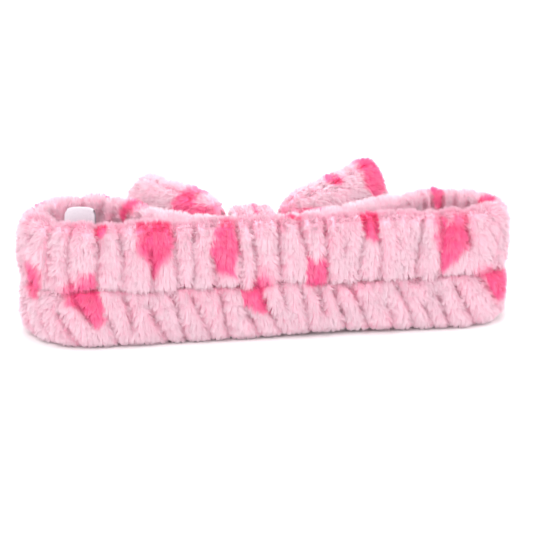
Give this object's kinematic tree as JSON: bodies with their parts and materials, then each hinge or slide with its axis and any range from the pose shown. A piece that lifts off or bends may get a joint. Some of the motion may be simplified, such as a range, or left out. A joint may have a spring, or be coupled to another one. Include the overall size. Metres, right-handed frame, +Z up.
{
  "type": "spa headband",
  "caption": "Stretchy plush headband that holds hair back during skin care: a gathered fleece loop over elastic, with a stuffed bow at the front.",
  "frame": {"origin": "centre of the bounding box's underside, on the surface that the band stands on", "axes": "+Z up, +X along the band's width, +Y towards the bow at the front; the label and the knot are on the -X side"},
  "size_m": [0.2358, 0.0958, 0.0711],
  "materials": {
    "coral_fleece": "deep soft pile with hot-pink heart print",
    "woven_elastic": "ribbed weave",
    "polyester_thread": "twisted thread",
    "polyester_batting": "loose fibre",
    "satin_label": "satin"
  },
  "bodies": {
    "front": {"fleece_front": "coral_fleece", "elastic_front_lower": "woven_elastic", "elastic_front_upper": "woven_elastic", "stitch_front_outer": "polyester_thread", "stitch_front_inner": "polyester_thread", "side_seam_left": "coral_fleece", "side_seam_right": "coral_fleece", "bow_waist": "coral_fleece", "knot_wrap": "coral_fleece", "knot_tack_stitch": "polyester_thread"},
    "back": {"fleece_back": "coral_fleece", "elastic_back_lower": "woven_elastic", "elastic_back_upper": "woven_elastic", "stitch_back_outer": "polyester_thread", "stitch_back_inner": "polyester_thread"},
    "label": {"care_label": "satin_label", "label_stitch": "polyester_thread"},
    "bow_left": {"bow_left_cover": "coral_fleece", "bow_left_filling": "polyester_batting", "bow_left_seam": "polyester_thread"},
    "bow_right": {"bow_right_cover": "coral_fleece", "bow_right_filling": "polyester_batting", "bow_right_seam": "polyester_thread"}
  },
  "joints": [
    {"name": "band_stretch", "type": "slide", "parent": "front", "child": "back", "axis": [0, -1, 0], "range_m": [0, 0.04], "stiffness_N_per_m": 150},
    {"name": "bow_left_fold", "type": "hinge", "parent": "front", "child": "bow_left", "pos_m": [-0.0202, -0.003, 0.0305], "axis": [0, 0, -1], "range_deg": [-10, 16], "stiffness_Nm_per_rad": 0.06},
    {"name": "bow_right_fold", "type": "hinge", "parent": "front", "child": "bow_right", "pos_m": [0.0082, -0.003, 0.0305], "axis": [0, 0, 1], "range_deg": [-2, 40], "stiffness_Nm_per_rad": 0.06},
    {"name": "label_flap", "type": "hinge", "parent": "back", "child": "label", "pos_m": [-0.0897, -0.03132, 0.042], "axis": [-0.9397, 0.342, 0], "range_deg": [0, 85], "stiffness_Nm_per_rad": 0.0002}
  ]
}
